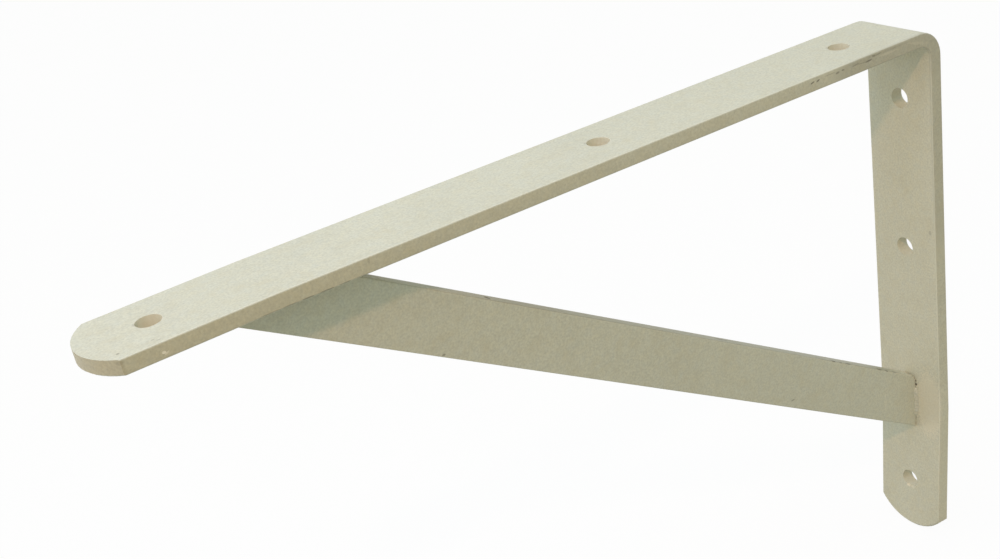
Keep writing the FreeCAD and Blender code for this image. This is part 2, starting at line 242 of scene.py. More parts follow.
def build_coat_tone():
    """Colour = base times level times warmth, mixed to the thin coat in patches.

    Level is 1 + 2 (clouds + speckle). Warmth is 1 + tip in red and 1 - 2 tip in blue.
    """
    tree, given, result = open_group(
        "coat_tone",
        [("Position", "Vector", (0, 0, 0)), ("Colour", "Color", (0.67, 0.65, 0.53, 1)),
         ("Thin Colour", "Color", (0.6, 0.55, 0.42, 1)), ("Thin Amount", "Float", 0.25),
         ("Cloud Swing", "Float", 0.045), ("Speckle Swing", "Float", 0.24),
         ("Hue Swing", "Float", 0.06)],
        [("Colour", "Color")])
    clouds = swing(tree, given["Position"], CLOUD_SIZE, 3.0)
    speckle = swing(tree, given["Position"], SPECKLE_SIZE)
    cloud_part = calculate(tree, "MULTIPLY", clouds, given["Cloud Swing"])
    level = calculate(tree, "MULTIPLY_ADD", speckle, given["Speckle Swing"], cloud_part)
    level = calculate(tree, "MULTIPLY_ADD", level, 2.0, 1.0)
    toned = calculate_vector(tree, "SCALE", {0: given["Colour"], "Scale": level})
    tip = swing(tree, given["Position"], HUE_SIZE)
    tip = calculate(tree, "MULTIPLY", tip, given["Hue Swing"])
    warmth = add_node(tree, "ShaderNodeCombineXYZ",
                      {"X": calculate(tree, "ADD", tip, 1.0), "Y": 1.0,
                       "Z": calculate(tree, "MULTIPLY_ADD", tip, -2.0, 1.0)})
    tipped = calculate_vector(tree, "MULTIPLY", {0: toned, 1: warmth.outputs[0]})
    patches = ramp(tree, noise(tree, given["Position"], PATCH_SIZE, 4.0, 0.7), *PATCH_STEP,
                   high=given["Thin Amount"])
    tree.links.new(mix_colours(tree, patches, tipped, given["Thin Colour"]), result["Colour"])
    return tree


coat_tone = build_coat_tone()

# %% [markdown]
# ## The skin of the paint
# Seen close, satin spray paint has a gentle orange peel about a millimetre across, and dust that
# settled while it was wet stands up as tiny nibs. Both are too shallow to be worth modelling, so
# they become a height for a Bump node. A wider noise varies the roughness, which keeps the sheen
# from looking like plastic film.

# %% A group for the orange peel
PEEL_SIZE = 1.3 * MM
NIB_SIZE = 1.0 * MM
NIB_STEP = (0.74, 0.84)
DRIFT_SIZE = 9 * MM


def build_coat_skin():
    """Height = soft peel noise plus sharp nibs. Roughness = a base that drifts with a wider noise."""
    tree, given, result = open_group(
        "coat_skin",
        [("Position", "Vector", (0, 0, 0)), ("Peel", "Float", 0.6), ("Nibs", "Float", 0.5),
         ("Roughness", "Float", 0.5), ("Roughness Swing", "Float", 0.1)],
        [("Height", "Float"), ("Roughness", "Float")])
    peel = calculate(tree, "MULTIPLY", noise(tree, given["Position"], PEEL_SIZE, 1.5), given["Peel"])
    nibs = ramp(tree, noise(tree, given["Position"], NIB_SIZE, 0.0), *NIB_STEP, high=given["Nibs"])
    tree.links.new(calculate(tree, "ADD", peel, nibs), result["Height"])
    drift = swing(tree, given["Position"], DRIFT_SIZE, 3.0)
    drifting = calculate(tree, "MULTIPLY_ADD", drift, given["Roughness Swing"], given["Roughness"])
    tree.links.new(drifting, result["Roughness"])
    return tree


coat_skin = build_coat_skin()

# %% [markdown]
# ## One scratch or chip at a time
# The real bracket has a handful of blemishes in definite places: specks, a scraped line near the
# bend, a chip by the tip. They could be brushed on in Texture Paint, but a mark that is written down
# as a place and a size can be moved and mended later. So each is a small stretched ball in space. A
# Mapping node of the Texture kind moves, turns and scales the position so that the ball becomes
# round, and a spherical gradient tells how close the middle is. Wherever the painted surface runs
# through the ball, the mask is on. A little noise frays its edge.

# %% A group for one mark
FRAY_SIZE = 0.7 * MM
MARK_STEP = (0.40, 0.62)


def build_mark():
    """Mask = a soft step of closeness, which is 1 at the place and 0 at the reach, made ragged."""
    tree, given, result = open_group(
        "mark",
        [("Position", "Vector", (0, 0, 0)), ("Place", "Vector", (0, 0, 0)),
         ("Turn", "Vector", (0, 0, 0)), ("Reach", "Vector", (0.002, 0.002, 0.002)),
         ("Fray", "Float", 0.5), ("Strength", "Float", 1.0)],
        [("Mask", "Float")])
    inside = add_node(tree, "ShaderNodeMapping",
                      {"Vector": given["Position"], "Location": given["Place"],
                       "Rotation": given["Turn"], "Scale": given["Reach"]}, vector_type="TEXTURE")
    closeness = add_node(tree, "ShaderNodeTexGradient", {"Vector": inside.outputs[0]},
                         gradient_type="SPHERICAL").outputs["Fac"]
    ragged = swing(tree, given["Position"], FRAY_SIZE, 3.0, 0.7)
    closeness = calculate(tree, "MULTIPLY_ADD", ragged, given["Fray"], closeness)
    tree.links.new(ramp(tree, closeness, *MARK_STEP, high=given["Strength"]), result["Mask"])
    return tree


mark_group = build_mark()

# %% [markdown]
# ## Edges: thin paint and a painted highlight
# Wet paint draws back from an edge towards the flat of the bar. So a rolled corner has a thin, dark
# half that leans to the side, and it wears first. The half that leans to the flat is painted pale, a
# painted highlight along the edge. A Bevel node could find such corners on any shape, but it sends
# out extra rays, and it would find the rims of the holes too. On both bars every rolled corner runs
# along one of the bar's two sides, so it can be told from two facts: the point is close to the
# side's distance from the middle plane, and the surface there doesn't face straight out of the side.
# A noise breaks the worn places up, as handling does.

# %% A group for worn edges
EDGE_BAND = 0.6 * MM
BAND_STEP = (1.0, 0.55)
OFF_SIDE_STEP = (0.995, 0.96)
TO_SIDE_STEP = (0.6, 0.8)
TO_FLAT_STEP = (0.8, 0.6)
WEAR_SIZE = 3.2 * MM
BREAK_SOFTNESS = 0.07


def build_worn_edge():
    """Line = near the side's plane and not facing straight along Y.

    Its thin half leans to the side, and the half that leans to the flat is a painted highlight. Worn
    spots are the places on it where a noise rises above the breaks.
    """
    tree, given, result = open_group(
        "worn_edge",
        [("Position", "Vector", (0, 0, 0)), ("Normal", "Vector", (0, 0, 1)),
         ("Half Width", "Float", 0.015), ("Band", "Float", EDGE_BAND), ("Breaks", "Float", 0.5)],
        [("Thin Line", "Float"), ("Highlight Line", "Float"), ("Worn Spots", "Float")])
    across = split(tree, given["Position"])["Y"]
    facing = split(tree, given["Normal"])["Y"]
    inset = calculate(tree, "SUBTRACT", given["Half Width"], calculate(tree, "ABSOLUTE", across))
    near_side = ramp(tree, calculate(tree, "DIVIDE", inset, given["Band"]), *BAND_STEP)
    sideways = calculate(tree, "ABSOLUTE", facing)
    line = calculate(tree, "MULTIPLY", near_side, ramp(tree, sideways, *OFF_SIDE_STEP))
    thin_half = calculate(tree, "MULTIPLY", line, ramp(tree, sideways, *TO_SIDE_STEP))
    tree.links.new(thin_half, result["Thin Line"])
    # The half that leans to the flat is a painted highlight.
    highlight_half = calculate(tree, "MULTIPLY", line, ramp(tree, sideways, *TO_FLAT_STEP))
    tree.links.new(highlight_half, result["Highlight Line"])
    broken = noise(tree, given["Position"], WEAR_SIZE, 4.0, 0.7)
    bare = calculate(tree, "ADD", given["Breaks"], BREAK_SOFTNESS)
    spots = ramp(tree, broken, given["Breaks"], bare)
    tree.links.new(calculate(tree, "MULTIPLY", line, spots), result["Worn Spots"])
    return tree


worn_edge = build_worn_edge()

# %% [markdown]
# ## The walls of the screw holes
# The wall of a punched hole is painted warmer and lighter than the face, partly a warmer tone and
# partly painted light for the light that bounces into it, most of all in the arm, where the light
# falls straight in. The wall's faces could be picked by hand and given a second material, but a
# formula finds them on any mesh: a wall is where the distance from the hole's axis is the hole's
# radius. That distance is the length of the cross product of the axis with the way from the hole's
# centre, which holds for a leaning hole as well.

# %% A group for the wall of a hole
HOLE_RADIUS = 3.75
WALL_STEP = (1.035, 1.01)


def build_hole_wall():
    """Mask = 1 as far from the hole's axis as its wall stands, and 0 just outside."""
    tree, given, result = open_group(
        "hole_wall",
        [("Position", "Vector", (0, 0, 0)), ("Centre", "Vector", (0, 0, 0)),
         ("Axis", "Vector", (0, 0, 1)), ("Radius", "Float", HOLE_RADIUS * MM)],
        [("Mask", "Float")])
    way = calculate_vector(tree, "SUBTRACT", {0: given["Position"], 1: given["Centre"]})
    crossed = calculate_vector(tree, "CROSS_PRODUCT", {0: way, 1: given["Axis"]})
    distance = calculate_vector(tree, "LENGTH", {0: crossed}, result="Value")
    share = calculate(tree, "DIVIDE", distance, given["Radius"])
    tree.links.new(ramp(tree, share, *WALL_STEP), result["Mask"])
    return tree


hole_wall = build_hole_wall()

# %% [markdown]
# ## From groups to a paint
# Bar, brace and beads share one recipe. Three separate materials would be quicker to start, but
# they would drift apart with every change. The bar's sides get a painted shade, browner and darker
# towards the tip, the cropped ends take the least paint, so they are browner, and the tone is laid
# over that. A painted shade darkens the brace's narrow upper face, but hardly under the arm, whose
# shadow darkens it already. The edges get a thin line and a painted highlight, and light and dark
# marks go over all of it. The skin gives the relief, and marks dent the surface and dull it. Every
# pattern reads the piece's own Object coordinates, so the paint stays on the steel whatever the camera
# does.

# %% Colours of the coat and of what lies on it
# Painted light and shade among these: the thin coat colour also shades the bar's sides, the hole walls
# are lighter for the light bounced into them, the top shade darkens the brace's upper face, the edge
# highlight is painted on, and the chip and dirt colours also carry painted light and painted shade.
THIN_COAT_AND_SIDE_SHADE = (0.59, 0.535, 0.375, 1)
CROPPED = (0.48, 0.405, 0.255, 1)
HOLE_TONE_AND_LIGHT = (0.81, 0.76, 0.62, 1)
TOP_FACE_SHADE = (0.36, 0.35, 0.27, 1)
THIN_EDGE = (0.45, 0.42, 0.31, 1)
EDGE_HIGHLIGHT = (0.80, 0.79, 0.66, 1)
CHIP_AND_PAINTED_LIGHT = (0.94, 0.865, 0.69, 1)
DIRT_AND_SHADE = (0.085, 0.07, 0.045, 1)
print("the blue of a thin coat is", round(THIN_COAT_AND_SIDE_SHADE[2] / THIN_COAT_AND_SIDE_SHADE[0], 2), "of its red")

# %% Gather marks and hole walls into one mask each
Mark = namedtuple("Mark", "place size turn strength")
Hole = namedtuple("Hole", "centre axis strength")
NO_TURN = (0, 0, 0)
DARK_FRAY = 0.55
LIGHT_FRAY = 0.45


def all_marks(tree, position, marks, fray):
    """Give the strongest of all the marks' masks at each point."""
    strongest = 0.0
    for mark in marks:
        mask = add_group(tree, mark_group, {
            "Position": position, "Place": [value * MM for value in mark.place],
            "Reach": [2 * value * MM for value in mark.size],
            "Turn": [math.radians(value) for value in mark.turn],
            "Fray": fray, "Strength": mark.strength})["Mask"]
        strongest = calculate(tree, "MAXIMUM", mask, strongest)
    return strongest


def all_hole_walls(tree, position, holes):
    """Give the strongest of all the holes' masks at each point."""
    strongest = 0.0
    for hole in holes:
        mask = add_group(tree, hole_wall, {
            "Position": position, "Centre": [value * MM for value in hole.centre],
            "Axis": hole.axis, "Radius": HOLE_RADIUS * MM})["Mask"]
        wall = calculate(tree, "MULTIPLY", mask, hole.strength)
        strongest = calculate(tree, "MAXIMUM", wall, strongest)
    return strongest

# %% Find the painted shade of the sides and the top, and the cropped ends
# Where each step starts and is complete along X, or along Z for the tail
SIDE_SHADE_GROWS = (80, 300)
TIP_BEGINS = (298.2, 299.4)
TAIL_BEGINS = (-178.0, -179.2)
TOP_SHADE_BEGINS = (8, 20)
UNDER_ARM_BEGINS = (170, 215)
# How far a surface has to face along Y, off a flat or upwards
FACES_SIDEWAYS = (0.93, 0.995)
FACES_OFF_FLAT = (0.4, 0.2)
FACES_UP = (0.45, 0.7)


def along_leg(tree, distance, start_and_end, low=0.0, high=1.0):
    """Make a soft step between two places along X or Z, in millimetres."""
    start, end = start_and_end
    return ramp(tree, distance, start * MM, end * MM, low, high)


def painted_side_shade(tree, place, facing, shade_amounts):
    """Mask of the painted side shade = from the first amount by the wall to the second by the tip, on
    what faces along Y.
    """
    on_side = ramp(tree, calculate(tree, "ABSOLUTE", facing["Y"]), *FACES_SIDEWAYS)
    return calculate(tree, "MULTIPLY", on_side, along_leg(tree, place["X"], SIDE_SHADE_GROWS, *shade_amounts))


def cropped_end(tree, distance, begins, flat_facing):
    """Mask = 1 past the last corner of a leg, where the surface doesn't face as the leg's flats do."""
    past_corner = along_leg(tree, distance, begins)
    off_flat = ramp(tree, calculate(tree, "ABSOLUTE", flat_facing), *FACES_OFF_FLAT)
    return calculate(tree, "MULTIPLY", past_corner, off_flat)


def painted_top_shade(tree, place, facing, top_shade_amounts):
    """Mask of the painted shade = the first amount in the open and the second under the arm, on what
    faces up.
    """
    under_arm = along_leg(tree, place["X"], UNDER_ARM_BEGINS, *top_shade_amounts)
    top_shade_here = calculate(tree, "MULTIPLY", under_arm, along_leg(tree, place["X"], TOP_SHADE_BEGINS))
    return ramp(tree, facing["Z"], *FACES_UP, high=top_shade_here)

# %% The shared paint recipe
DENTS_DULL_BY = 0.25
PAINT_SHINE = 0.35


def cream_paint(name, colour, half_width, dark_marks=(), light_marks=(), holes=(),
                side_shade=(0.0, 0.0), cropped=0.0, top_shade_amounts=(0.0, 0.0), thin_edge=0.0, highlight_amount=0.0,
                wear=0.0, breaks=0.6, peel_depth=0.05):
    """Make one piece's paint: a coat, its tone, one colour laid over another, then the relief."""
    material = bpy.data.materials.new(name)
    material.use_nodes = True
    tree = material.node_tree
    position = add_node(tree, "ShaderNodeTexCoord").outputs["Object"]
    normal = add_node(tree, "ShaderNodeNewGeometry").outputs["Normal"]
    skin = add_group(tree, coat_skin, {"Position": position})
    edge = add_group(tree, worn_edge, {"Position": position, "Normal": normal,
                                       "Half Width": half_width * MM, "Breaks": breaks})
    facing = split(tree, normal)
    place = split(tree, position)

    # The bar's sides get a painted shade, darker and browner towards the tip.
    side = painted_side_shade(tree, place, facing, side_shade)
    on_tip = cropped_end(tree, place["X"], TIP_BEGINS, facing["Z"])
    on_tail = cropped_end(tree, place["Z"], TAIL_BEGINS, facing["X"])
    on_end = calculate(tree, "MAXIMUM", on_tip, on_tail)
    coat = mix_colours(tree, side, colour, THIN_COAT_AND_SIDE_SHADE)
    coat = mix_colours(tree, calculate(tree, "MULTIPLY", on_end, cropped), coat, CROPPED)
    tone = add_group(tree, coat_tone, {"Position": position, "Colour": coat,
                                       "Thin Colour": THIN_COAT_AND_SIDE_SHADE})

    # A painted shade on upward faces, weaker under the arm.
    top_shade = painted_top_shade(tree, place, facing, top_shade_amounts)
    off_end = calculate(tree, "SUBTRACT", 1.0, on_end)
    thin_here = calculate(tree, "MULTIPLY", off_end, thin_edge)
    thin_line = calculate(tree, "MULTIPLY", edge["Thin Line"], thin_here)
    highlight_here = calculate(tree, "MULTIPLY", off_end, highlight_amount)
    highlight_line = calculate(tree, "MULTIPLY", edge["Highlight Line"], highlight_here)
    worn = calculate(tree, "MULTIPLY", edge["Worn Spots"], wear)
    dark = calculate(tree, "MAXIMUM", all_marks(tree, position, dark_marks, DARK_FRAY), worn)
    light = all_marks(tree, position, light_marks, LIGHT_FRAY)
    in_holes = all_hole_walls(tree, position, holes)
    # Over the tone: hole walls painted lighter, a painted shade on the brace's top, a thin edge line, a
    # painted edge highlight, then pale and dark marks, which hold painted light and shade as well as real
    # chips and dirt.
    shade = tone["Colour"]
    for amount, over in ((in_holes, HOLE_TONE_AND_LIGHT), (top_shade, TOP_FACE_SHADE), (thin_line, THIN_EDGE),
                         (highlight_line, EDGE_HIGHLIGHT), (light, CHIP_AND_PAINTED_LIGHT), (dark, DIRT_AND_SHADE)):
        shade = mix_colours(tree, amount, shade, over)

    damage = calculate(tree, "MAXIMUM", dark, light)
    roughness = calculate(tree, "MULTIPLY_ADD", damage, DENTS_DULL_BY, skin["Roughness"])
    height = calculate(tree, "MULTIPLY_ADD", damage, -1.0, skin["Height"])
    relief = add_node(tree, "ShaderNodeBump", {"Height": height, "Strength": 1.0,
                                               "Distance": peel_depth * MM})
    surface = tree.nodes["Principled BSDF"]
    fill(tree, surface.inputs, {"Base Color": shade, "Roughness": roughness,
                                "Normal": relief.outputs["Normal"], "Specular IOR Level": PAINT_SHINE})
    print("paint", name, "has", len(dark_marks), "dark and", len(light_marks), "light marks and knows",
          len(holes), "holes")
    return material


def paint_node(node, paint):
    """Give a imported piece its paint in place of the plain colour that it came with."""
    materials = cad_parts[node].data.materials
    materials.clear()
    materials.append(paint)

# %% [markdown]
# ## The bent bar's paint
# The bar is a strong cream. Its near side was scraped before the bend, which left two specks and a
# broken dark line, and round the bend that side is browner. A broken dark line runs along the arm's
# lower edge where it passes the brace. The tip has a nick at its corner, a chip just behind it and
# specks on top, and each of the arm's holes is darker at its rim towards the tip. A painted light
# lifts the upright beside the brace's lower foot, where the brace shades it, the near side towards
# the tail is paler, and a painted highlight lies on the lower wall of the lowest hole. Painted shade
# darkens the open grooves beside the brace's lower foot, above and below the weld, on the bar and
# the brace alike. Marks could be scattered by chance, but then they would miss the places that make
# this bracket itself, so each is given one by one. Each place below is on the painted surface, and each
# size is half the mark's length, depth and height.

# %% Painted shade in the grooves at the lower foot
# Painted shade: dark marks in the corners between the brace's lower foot and the upright, above and below
# the weld.
groove_shade = [
    Mark((6.6, 3.0, -114.5), (0.6, 0.4, 0.25), (0, 32, 0), 0.3),
    Mark((5.5, 3.0, -116.0), (0.3, 0.4, 0.6), (0, 25, 0), 0.5),
    Mark((5.1, 3.1, -117.4), (0.28, 0.4, 0.5), NO_TURN, 0.6),
    Mark((5.0, 3.2, -119.0), (0.42, 0.45, 0.55), NO_TURN, 0.85),
    Mark((5.0, 3.2, -134.4), (0.35, 0.4, 0.45), NO_TURN, 0.5),
    Mark((5.1, 3.0, -136.6), (0.25, 0.3, 1.4), NO_TURN, 0.3),
    Mark((5.1, -3.0, -117.6), (0.3, 0.4, 1.4), NO_TURN, 0.5),
    Mark((5.1, -3.0, -136.4), (0.3, 0.4, 1.5), NO_TURN, 0.4),
]
print(len(groove_shade), "marks in the grooves")

# %% Dark marks on the bar's near side
BAR_HALF_WIDTH = 15.0


def side_mark(x, z, half_length, half_height, strength, slope=0, depth=0.6):
    """Place a mark on the bar's near side, with its slope in degrees."""
    return Mark((x, BAR_HALF_WIDTH, z), (half_length, depth, half_height), (0, slope, 0), strength)


specks_before_bend = [
    side_mark(60.7, 25.7, 0.9, 0.25, 0.7, slope=16),
    side_mark(58.2, 25.7, 0.75, 0.28, 0.7, slope=20),
]
scrape = [
    side_mark(52.6, 26.2, 2.4, 0.2, 0.25),
    side_mark(49.3, 25.7, 0.9, 0.4, 0.5, slope=10),
    side_mark(46.8, 25.9, 0.7, 0.3, 0.55, slope=-6),
    side_mark(40.9, 25.9, 1.8, 0.25, 0.5, slope=5),
    side_mark(37.9, 25.6, 2.2, 0.17, 0.45, slope=-2),
    side_mark(34.9, 25.5, 1.6, 0.32, 0.65, slope=4),
    side_mark(32.4, 26.5, 0.9, 0.34, 0.55, slope=-8),
    side_mark(30.3, 26.5, 1.5, 0.22, 0.5, slope=7),
    side_mark(22.8, 26.4, 1.2, 0.24, 0.35, slope=8),
    side_mark(36.5, 25.9, 5.5, 0.5, 0.22, slope=3),
    side_mark(30.0, 26.5, 17.0, 0.5, 0.24),
]
browner_bend = [
    side_mark(31.0, 24.5, 19.0, 4.5, 0.17, depth=0.8),
    side_mark(10.0, 0.0, 34.0, 55.0, 0.12, depth=1.0),
    side_mark(7.0, 21.0, 15.0, 12.0, 0.19, depth=0.8),
]
short_scratch = [side_mark(227.4, 26.2, 0.35, 0.9, 0.2)]
line_past_brace = [
    side_mark(x, 22.8, half_length, half_height, strength, depth=0.5)
    for x, half_length, half_height, strength in (
        (258.0, 3.0, 0.22, 0.25),
        (252.0, 2.3, 0.24, 0.32),
        (246.8, 1.8, 0.26, 0.42),
        (241.2, 2.4, 0.24, 0.42),
        (235.4, 1.8, 0.22, 0.32),
        (230.4, 2.0, 0.2, 0.2),
    )
]
print("the scrape is made of", len(scrape), "marks and the line past the brace of", len(line_past_brace))

# %% Dark marks on the bar's flats and in its holes
# Each arm hole is darker at its rim towards the tip.
dark_hole_rims = [
    Mark((289.65, -0.9, 25.8), (0.9, 1.4, 1.7), NO_TURN, 0.22),
    Mark((140.1, -2.1, 26.2), (1.0, 1.3, 1.7), NO_TURN, 0.22),
    Mark((36.15, -2.65, 26.2), (1.0, 1.1, 1.7), NO_TURN, 0.22),
]
tip_specks = [
    Mark((298.6, 11.5, 26.8), (0.5, 0.42, 0.8), (0, 0, 20), 0.4),
    Mark((289.2, 11.8, 26.9), (0.5, 0.4, 0.8), NO_TURN, 0.22),
    Mark((288.0, 13.1, 26.9), (0.7, 0.3, 0.8), NO_TURN, 0.22),
]
tip_nick = [Mark((299.5, 14.6, 25.7), (1.1, 0.8, 0.6), NO_TURN, 0.18)]
upright_speck = [Mark((5.0, 12.4, -50.3), (0.6, 0.6, 0.9), NO_TURN, 0.25)]
bar_dark_marks = (groove_shade + specks_before_bend + scrape + browner_bend + short_scratch
                  + line_past_brace + dark_hole_rims + tip_specks + tip_nick + upright_speck)
print("the bar has", len(bar_dark_marks), "dark marks")

# %% Pale marks on the bar
chip_behind_tip = [
    side_mark(288.1, 24.0, 0.6, 0.45, 0.95),
    side_mark(287.3, 23.6, 0.7, 0.3, 0.5, slope=30),
]
# Pale streaks on the near side by the bend.
pale_streaks_at_bend = [
    side_mark(25.7, 25.5, 4.2, 0.4, 0.3),
    side_mark(11.0, 24.6, 5.0, 0.5, 0.22, slope=-16),
]
# A painted highlight on the lower wall of the lowest hole.
low_hole_highlight = [
    Mark((6.9, -0.9, -168.0), (0.9, 0.85, 0.55), NO_TURN, 1.0),
    Mark((6.9, 1.2, -168.1), (0.8, 1.3, 0.3), NO_TURN, 0.4),
]
# Painted light: the second patch lifts the upright beside the brace's lower foot, where the brace shades
# it. The first makes the near side towards the tail paler.
painted_light_and_pale_side = [
    side_mark(3.0, -150.0, 8.0, 36.0, 0.22),
    Mark((5.0, 9.5, -126.0), (2.5, 6.8, 14.5), NO_TURN, 0.42),
]
bar_light_marks = chip_behind_tip + pale_streaks_at_bend + low_hole_highlight + painted_light_and_pale_side
print("the bar has", len(bar_light_marks), "pale marks")

# %% The bar's screw holes and its paint
TIP_DROOP = math.radians(0.9)
TAIL_LEAN = math.radians(2.7)
UP = (0, 0, 1)
OUT = (1, 0, 0)
bar_holes = [
    Hole((33.5, 0, 25), UP, 0.65),
    Hole((137, 0, 25), UP, 0.75),
    Hole((286, 0, 22), (math.sin(TIP_DROOP), 0, math.cos(TIP_DROOP)), 0.85),
    Hole((2.5, 0, 0), OUT, 0.4),
    Hole((2.5, 0, -59.5), OUT, 0.4),
    Hole((4.27, 0, -164.58), (math.cos(TAIL_LEAN), 0, math.sin(TAIL_LEAN)), 0.45),
]
CREAM = (0.67, 0.655, 0.53, 1)
bar_paint = cream_paint("bar_paint", CREAM, BAR_HALF_WIDTH, bar_dark_marks, bar_light_marks, bar_holes,
                        side_shade=(0.34, 0.80), cropped=0.45, thin_edge=0.2, highlight_amount=0.6,
                        wear=0.3, breaks=0.68)
paint_node("bent_bar", bar_paint)

# %% [markdown]
# ## The brace's paint
# The brace was cropped from narrower stock and rubbed against its neighbours, so the long top edge
# is broken by small dark lines, and a painted shade darkens that narrow face. The painted shade of
# the lower grooves is on this piece too, a faint pale dent runs across the near face beside the
# weld, and two small specks lie further up. The recipe is the bar's, with its own marks and more
# painted shade on top, so the two pieces look sprayed together.

# %% Marks and paint for the brace
BRACE_HALF_WIDTH = 3.0
BRACE_SLOPE = -30.9


def rubbed_mark(place, size, strength):
    """Lay a mark along the brace."""
    return Mark(place, size, (0, BRACE_SLOPE, 0), strength)


rubbed_top_edge = [
    rubbed_mark((185.6, 0.5, -7.1), (1.0, 1.2, 0.4), 0.6),
    rubbed_mark((97.2, 0.0, -60.0), (3.2, 0.5, 0.5), 0.5),
    rubbed_mark((47.4, 2.4, -90.0), (1.3, 0.6, 0.4), 0.6),
    rubbed_mark((43.9, 2.5, -92.1), (1.0, 0.5, 0.35), 0.45),
    rubbed_mark((40.0, 2.4, -94.4), (1.6, 0.5, 0.4), 0.65),
    rubbed_mark((24.0, 2.4, -104.0), (1.6, 0.6, 0.4), 0.6),
    rubbed_mark((20.3, 2.5, -106.2), (0.9, 0.5, 0.45), 0.75),
    rubbed_mark((16.2, 2.4, -108.7), (1.5, 0.5, 0.35), 0.45),
]
brace_specks = [
    Mark((204.9, 3.0, -17.9), (0.6, 0.5, 0.4), NO_TURN, 0.45),
    Mark((69.0, 3.0, -96.8), (0.9, 0.5, 0.3), NO_TURN, 0.4),
]
pale_dent = [Mark((21.9, 3.0, -119.0), (0.35, 0.5, 3.6), (0, -8, 0), 0.2)]
BRACE_CREAM = (0.66, 0.65, 0.53, 1)
brace_paint = cream_paint("brace_paint", BRACE_CREAM, BRACE_HALF_WIDTH,
                          groove_shade + rubbed_top_edge + brace_specks, pale_dent,
                          top_shade_amounts=(0.65, 0.1), thin_edge=0.06, wear=0.3, breaks=0.63)
paint_node("brace", brace_paint)

# %% [markdown]
# ## Weld beads that ripple
# A weld bead is laid in overlapping puddles, so its face is a row of shallow crescents and both of
# its toes wander. The CAD beads are plain rounded lumps of the right size. A bead could be sculpted
# by hand, but four that are alike and yet not the same are easier to get from one formula with a
# different seed for each. So each is a surface worked out in numpy, where one parameter runs along
# the corner and the other runs round the section. The hidden back of the section dips into the
# steel, so no gap can show at the toes. The beads are slim, dressed nearly flush and thick with
# paint, so their ripples are faint.

# %% The bead as a function of two parameters
RINGS = 150
ROUND = 32
BULGE_POWER = 1.5
SINK = 0.25
RIPPLES = 9.5
RIPPLE_HEIGHT = 0.04
CRESCENT_BOW = 1.21
TOE_SWINGS = (0.07, 0.05)
BAR_TOE_WAVES = (5.1, 11.3)
BRACE_TOE_WAVES = (4.3, 12.7)


def toe_wander(s, waves, shifts):
    """Swing about 1 with the distance s, by a slow sine and a quicker, smaller one."""
    slow, quick = (swing_by * np.sin(wave * s + shift)
                   for swing_by, wave, shift in zip(TOE_SWINGS, waves, shifts))
    return 1 + slow + quick


def bead_points(length, leg, lean, seed):
    """Work out a bead along its corner.

    Along: s runs from -1 to 1, and the size of the section is the square root of 1 - s^6.
    Round: the face goes from the toe on the bar to the toe on the brace as (cos^p, sin^p) of a
    quarter turn, and the back returns as (u^2, (1 - u)^2) less a quarter of sin(pi u), which takes
    it into the steel.
    Ripples: the face grows and shrinks by a few percent as the sine of the distance along. Across
    the face that distance bows by share (1 - share), which makes crescents of the ripples.
    Toes: each leg wanders by a slow and a quicker sine.
    Results are the distances along the corner, out over the bar and out over the brace.
    """
    shifts = np.random.default_rng(seed).uniform(0, 2 * np.pi, 4)
    s = np.linspace(-1, 1, RINGS)[:, None] * np.ones((1, ROUND))
    round_about = np.linspace(0, 2, ROUND, endpoint=False)[None, :] * np.ones((RINGS, 1))
    on_face = round_about <= 1
    share = np.clip(round_about, 0, 1)
    u = np.clip(round_about - 1, 0, 1)
    sunk = SINK * np.sin(np.pi * u)
    out_bar = np.where(on_face, np.cos(share * np.pi / 2) ** BULGE_POWER, u ** 2 - sunk)
    out_brace = np.where(on_face, np.sin(share * np.pi / 2) ** BULGE_POWER, (1 - u) ** 2 - sunk)
    size = np.sqrt(np.clip(1 - s ** 6, 0, 1))
    ripples = RIPPLES * (s + 1) / 2 - CRESCENT_BOW * share * (1 - share)
    swell = 1 + np.where(on_face, RIPPLE_HEIGHT * np.sin(2 * np.pi * ripples) * np.sin(np.pi * share), 0)
    along = s * length / 2
    past_kink = np.clip(along, 0, None) * math.tan(lean)
    over_bar = leg * size * out_bar * swell * toe_wander(s, BAR_TOE_WAVES, shifts[:2])
    over_brace = leg * size * out_brace * swell * toe_wander(s, BRACE_TOE_WAVES, shifts[2:])
    return along, over_bar, over_brace + past_kink


print("a bead is a grid of", RINGS, "by", ROUND, "points")

# %% [markdown]
# ## From a grid of points to a mesh
# The rings of points could be skinned with a Skin modifier or a curve's bevel, but the grid already
# says which points are neighbours. Each face joins two neighbours on one ring to the same two on the
# next. The order of a face's corners decides which side is its front. The three directions of a
# far bead are those of a near one seen in a mirror, so the order is worked out from them and is
# turned round where it has to be. The section shrinks to nothing at both ends, so a bead closes
# there by itself.

# %% Put a bead into its corner
def bead_mesh(name, corner, directions, length, leg, lean, seed):
    """Add up corner + along + over the bar + over the brace, and join the points with faces."""
    along_axis, bar_axis, brace_axis = (np.array(axis, float) for axis in directions)
    along, over_bar, over_brace = bead_points(length, leg, lean, seed)
    points = (np.array(corner, float) + along[..., None] * along_axis
              + over_bar[..., None] * bar_axis + over_brace[..., None] * brace_axis)
    ring = np.arange(RINGS - 1)[:, None] * ROUND
    next_ring = ring + ROUND
    step = np.arange(ROUND)[None, :]
    next_step = (step + 1) % ROUND
    quads = np.stack([ring + step, ring + next_step, next_ring + next_step, next_ring + step], axis=-1)
    quads = quads.reshape(-1, 4)
    would_face_inwards = np.dot(np.cross(brace_axis, along_axis), bar_axis) > 0
    if would_face_inwards:
        quads = quads[:, ::-1]
    mesh = bpy.data.meshes.new(name)
    mesh.from_pydata(points.reshape(-1, 3) * MM, [], quads.tolist())
    mesh.polygons.foreach_set("use_smooth", np.ones(len(quads), bool))
    mesh.update()
    return mesh

